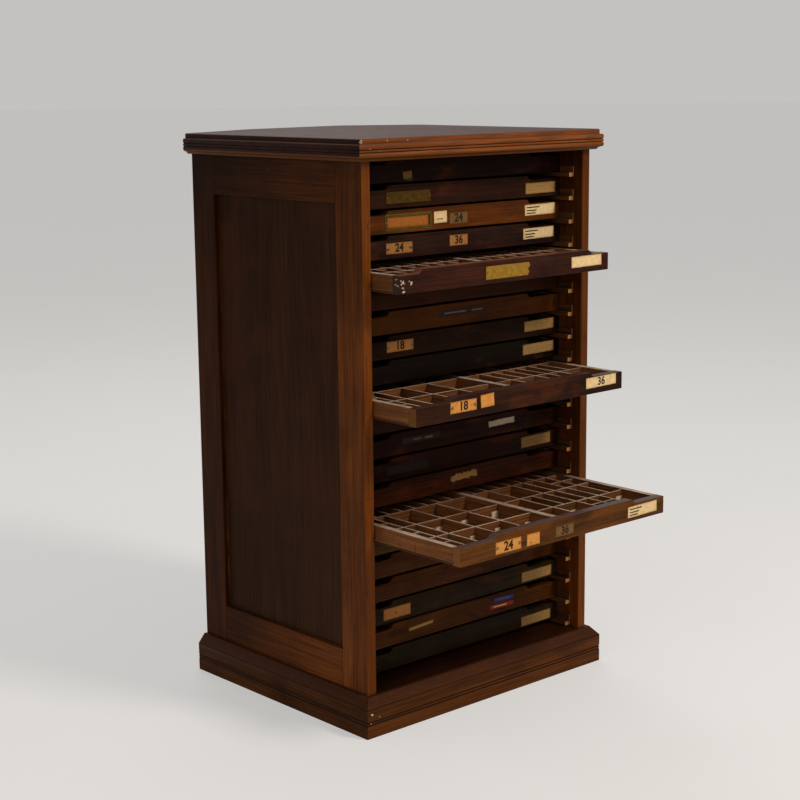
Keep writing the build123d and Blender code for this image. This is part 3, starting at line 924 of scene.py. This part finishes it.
# %% Odd papers
strip_lines = ((0.1, 0.55, 0.4, 0.6), (0.68, 0.9, 0.4, 0.6))
faint_lines = ((0.3, 0.5, 0.4, 0.6), (0.6, 0.8, 0.3, 0.6))
label(1, "scrap", -145, -124, 5, 19, olive, ragged=1.6, tilt=-6)
label(1, "green_scrap", -134, -122, 0.8, 6, green_scrap, ragged=1.2)
label(3, "small_slip", -69, -36, 12, 34, cream, bars=((0.2, 0.7, 0.3, 0.38),),
      marks=grey_ink, tilt=-1)
label(7, "strip", -56, 68, 18, 31, dark_strip, bars=strip_lines, marks=grey_ink)
label(10, "square", -114, -80, 14, 38, orange, tilt=-2)
label(12, "faint_strip", -156, -56, 18, 30, dark_strip, bars=faint_lines, marks=grey_ink)
label(12, "white_strip", 74, 146, 18, 30, white, ragged=0.8, tilt=-1)
label(13, "faded_plate", -192, -88, 10, 27, faded_strip)
label(14, "torn_label", -28, 42, 18, 31, buff, ragged=3.0, tilt=-3)
label(15, "square", -107, -74, 6, 28, orange, bars=((0.2, 0.4, 0.2, 0.3),), marks=grey_ink)
label(19, "tan_label", -206, -137, 7, 29, shaded_orange, bars=((0.42, 0.50, 0.42, 0.52),))
label(20, "yellow_strip", -141, -78, 20, 26, yellow_strip, tilt=-3)
label(20, "blue_strip", 89, 145, 24, 33, blue_strip, bars=((0.2, 0.8, 0.45, 0.6),),
      marks=grey_ink, tilt=2)
label(20, "red_strip", 78, 145, 11, 20, red_strip, bars=((0.15, 0.7, 0.4, 0.6),),
      marks=cream, tilt=1)

# %% [markdown]
# ## Brass
# Three cases carry brass: a label plate, a card holder with a raised bead, and a plate torn at one
# end. Their shapes come from the frame, so they only take a finish, brown where the lacquer has
# held dirt and yellow where fingers rubbed it. Round pins hold them, and a card sits in the
# holder.

# %% Brass fittings, pins and card
pin_radius, pin_height = 1.6 * mm, 0.9 * mm
for node, finish in (("case_02_label_plate", dark_brass), ("case_03_card_holder", dull_brass),
                     ("case_05_torn_plate", brass)):
    plate = frame["nodes"][node]
    plate.data.materials.clear()
    plate.data.materials.append(finish)


def pins(case, node, insets, finish):
    """Round pin heads in a plate, inset in millimetres from its left (+) or right (-) end."""
    low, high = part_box(node)
    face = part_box("case_%02d_front" % case)[0].y - 0.9 * mm
    form = bmesh.new()
    for inset in insets:
        end = low.x if inset > 0 else high.x
        dome(form, Vector((end + inset * mm, face, (low.z + high.z) / 2)), pin_radius, pin_height)
    return put(form, "case_%02d_pins" % case, "case_%02d" % case, [finish])


pins(2, "case_02_label_plate", (4.0, -4.0), dull_brass)
pins(3, "case_03_card_holder", (2.2, -2.2), brass)
pins(5, "case_05_torn_plate", (4.0,), dull_brass)
label(3, "card", -185, -84, 10.5, 29.5, card, ragged=0.15)

# %% [markdown]
# A dark line runs round the holder, just inside its edge. Four thin slabs make it.

# %% Line round the card holder
low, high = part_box("case_03_card_holder")
line, inset, skin = 1.2 * mm, 2.0 * mm, 0.05 * mm
left, right, foot, head = low.x + inset, high.x - inset, low.z + inset, high.z - inset
form = bmesh.new()
for start_x, start_z, end_x, end_z in (
        (left, foot, right, foot + line), (left, head - line, right, head),
        (left, foot, left + line, head), (right - line, foot, right, head)):
    slab(form, Vector((start_x, low.y - skin, start_z)), Vector((end_x, low.y + skin, end_z)))
put(form, "case_03_holder_line", "case_03", [dark_strip])
print("line of", round(right - left, 3), "by", round(head - foot, 3), "m")

# %% [markdown]
# ## Flakes of old paint
# Paint has chipped off the corners that stick out, and pale flakes of it are left. A flake is a
# flat polygon of a few corners, pulled uneven and pushed a hair off the wood. A noise mask in the
# wood's finish could show them too, but it couldn't be placed so well.

# %% One flake
old_paint = paper("old_paint", colour(176, 168, 148), colour(110, 100, 84))
dice = random.Random("flakes")
to_front, to_left = (0, -1, 0), (-1, 0, 0)


def flake(form, place, facing, size):
    """An uneven chip of a size in millimetres, on a surface that looks along facing."""
    made = bmesh.ops.create_circle(form, cap_ends=True, segments=9, radius=size * mm)["verts"]
    for vertex in made:
        vertex.co *= dice.uniform(0.45, 1.15)
        vertex.co.x *= 1.5
    faces = list({f for v in made for f in v.link_faces})
    top = bmesh.ops.extrude_face_region(form, geom=faces)["geom"]
    raised = [v for v in top if isinstance(v, bmesh.types.BMVert)]
    bmesh.ops.translate(form, vec=(0.0, 0.0, 0.12 * mm), verts=raised)
    whole = list(set(made) | set(raised))
    turn = Vector(facing).to_track_quat("Z", "Y").to_matrix().to_4x4()
    bmesh.ops.transform(form, matrix=Matrix.Translation(place) @ turn, verts=whole)


def put_flakes(form, name, body):
    bmesh.ops.recalc_face_normals(form, faces=form.faces[:])
    return put(form, name, body, [old_paint])


# %% Flakes at the left end of case 5
clusters = ((8.0, 21.0, 5, 3.4), (26.0, 20.0, 3, 2.4), (10.0, 8.0, 4, 2.6))
form = bmesh.new()
low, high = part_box("case_05_front")
for across, up, count, largest in clusters:
    for step in range(count):
        spot = Vector((across + dice.uniform(-5, 5), 0.0, up + dice.uniform(-4, 4))) * mm
        flake(form, low + spot, to_front, dice.uniform(0.8, largest))
for step in range(6):
    spot = Vector((0.0, dice.uniform(3, 12), dice.uniform(14, 28))) * mm
    flake(form, low + spot, to_left, dice.uniform(0.6, 1.6))
faces = len(form.faces)
put_flakes(form, "case_05_paint_flakes", "case_05")
print("faces of the flakes", faces)

# %% Flakes on the top's lip and the plinth
lip_setback, lip_middle = 6.0, 34.5
edge_flakes = ((24.0, 0.0, 22.0), (46.0, 0.0, 18.0), (70.0, lip_setback, 35.0),
               (118.0, lip_setback, 34.0))
plinth_flakes = ((12.0, 46.0, 2.2), (30.0, 38.0, 1.0), (9.0, 30.0, 0.9))
form = bmesh.new()
low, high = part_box("top_board")
for step in range(8):
    across, up = dice.uniform(6, 11), lip_middle + dice.uniform(-3.5, 3.5)
    spot = Vector((across, lip_setback, up)) * mm
    flake(form, low + spot, to_front, dice.uniform(0.6, 1.5))
for place in edge_flakes:
    flake(form, low + Vector(place) * mm, to_front, dice.uniform(0.6, 1.3))
low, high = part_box("plinth_front")
for across, up, size in plinth_flakes:
    flake(form, low + Vector((across, 0.0, up)) * mm, to_front, size)
put_flakes(form, "carcass_paint_flakes", "carcass")

# %% [markdown]
# ## Dents and dirt in the joints
# The stiles have knocks and open joints that hold dirt, and the side of case 15 has a nail hole
# and a crack. Each is a dark slab that stands less than a tenth of a millimetre out of the wood.
# Cutting them in would be truer, but at this size only their darkness shows.

# %% Dents on the left side frame
skin = 0.06 * mm
side_dents = (  # place from front to back, height, length and rise, on the left side
    (-139.0, 1038.5, 34.0, 1.6), (-114.0, 1001.0, 4.0, 3.6), (-141.5, 934.6, 20.0, 1.8),
    (118.0, 1027.0, 5.0, 3.0), (-60.0, 118.0, 3.0, 2.4),
)
front_dents = (  # place from side to side, height, length and rise, on the stile's face
    (-296.0, 446.4, 15.0, 1.3), (-296.2, 262.0, 1.5, 15.0), (-290.0, 701.0, 3.0, 2.0),
    (-284.0, 934.4, 2.0, 9.0),
)
tray_dents = ((-250.5, 364.5, 1.2, 19.0), (-349.5, 366.0, 4.0, 2.2))


def side_dent(form, x, y, z, length, rise):
    slab(form, Vector((x - skin, y * mm, z * mm)),
         Vector((x + skin, (y + length) * mm, (z + rise) * mm)))


form = bmesh.new()
low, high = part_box("left_side_frame")
for dent in side_dents:
    side_dent(form, low.x, *dent)
for x, z, length, rise in front_dents:
    slab(form, Vector((x * mm, low.y - skin, z * mm)),
         Vector(((x + length) * mm, low.y + skin, (z + rise) * mm)))
put(form, "stile_dents", "carcass", [dark_strip])
form = bmesh.new()
low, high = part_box("case_15_tray")
for dent in tray_dents:
    side_dent(form, low.x, *dent)
put(form, "case_15_dents", "case_15", [dark_strip])
print("dents", len(side_dents) + len(front_dents) + len(tray_dents))

# %% [markdown]
# ## Scraps in the open boxes
# A few scraps lie in the boxes of the cases that stand drawn out, and pale slips stand in the far
# right corners of some, as painted light where the lamp reaches the floors there. A scrap is a
# cube pressed flat, turned at random and bevelled.

# %% Scraps and standing slips
box_floor = 5.0


def scraps(case, spots):
    """Scraps in a case's boxes: millimetres from its middle and its face, and a size."""
    form = bmesh.new()
    low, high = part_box("case_%02d_front" % case)
    for x, y, size in spots:
        made = bmesh.ops.create_cube(form, size=size * mm)["verts"]
        edges = list({e for v in made for e in v.link_edges})
        shape = Matrix.Diagonal((1.0, dice.uniform(0.4, 0.8), dice.uniform(0.15, 0.3), 1.0))
        spin = Matrix.Rotation(dice.uniform(0, 3), 4, "Z")
        lean = Matrix.Rotation(dice.uniform(-0.15, 0.15), 4, "X")
        height = low.z + (box_floor + 0.16 * size) * mm
        rest = Matrix.Translation((x * mm, low.y + y * mm, height))
        bmesh.ops.transform(form, matrix=rest @ spin @ lean @ shape, verts=made)
        bmesh.ops.bevel(form, geom=edges, offset=0.08 * size * mm, offset_type="OFFSET",
                        segments=1, profile=0.5, affect="EDGES", clamp_overlap=True, material=-1)
    return put(form, "case_%02d_scraps" % case, "case_%02d" % case, [white])


def painted_light_slips(case, corners):
    """Pale slips in the far right corners of boxes, standing in for painted light on the floor
    there.
    """
    form = bmesh.new()
    low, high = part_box("case_%02d_front" % case)
    for x, y in corners:
        wide, tall = dice.uniform(10, 19), dice.uniform(15, 20)
        slab(form, Vector(((x - wide) * mm, low.y + (y - 0.6) * mm, low.z + 5.1 * mm)),
             Vector((x * mm, low.y + y * mm, low.z + tall * mm)))
    return put(form, "case_%02d_standing_slips" % case, "case_%02d" % case, [white])


scraps(15, ((-222, 48, 13), (-170, 62, 9), (-95, 52, 12), (-80, 60, 7), (20, 50, 9), (60, 70, 6),
            (120, 48, 10), (205, 60, 12), (150, 120, 8), (-200, 130, 7), (-40, 150, 8)))
first_row, second_row = 94.8, 181.5
painted_light_slips(15, [(x, first_row) for x in (-145, -79.5, 0.8, 127, 259.4)]
               + [(x, second_row) for x in (-145, -79.5, 0.8)])
scraps(10, ((-150, 60, 8), (40, 50, 7), (190, 70, 9)))

# %% [markdown]
# ## Sizes
# The box of the dressed cabinet is measured.

# %% Measure the dressed cabinet
low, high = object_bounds()
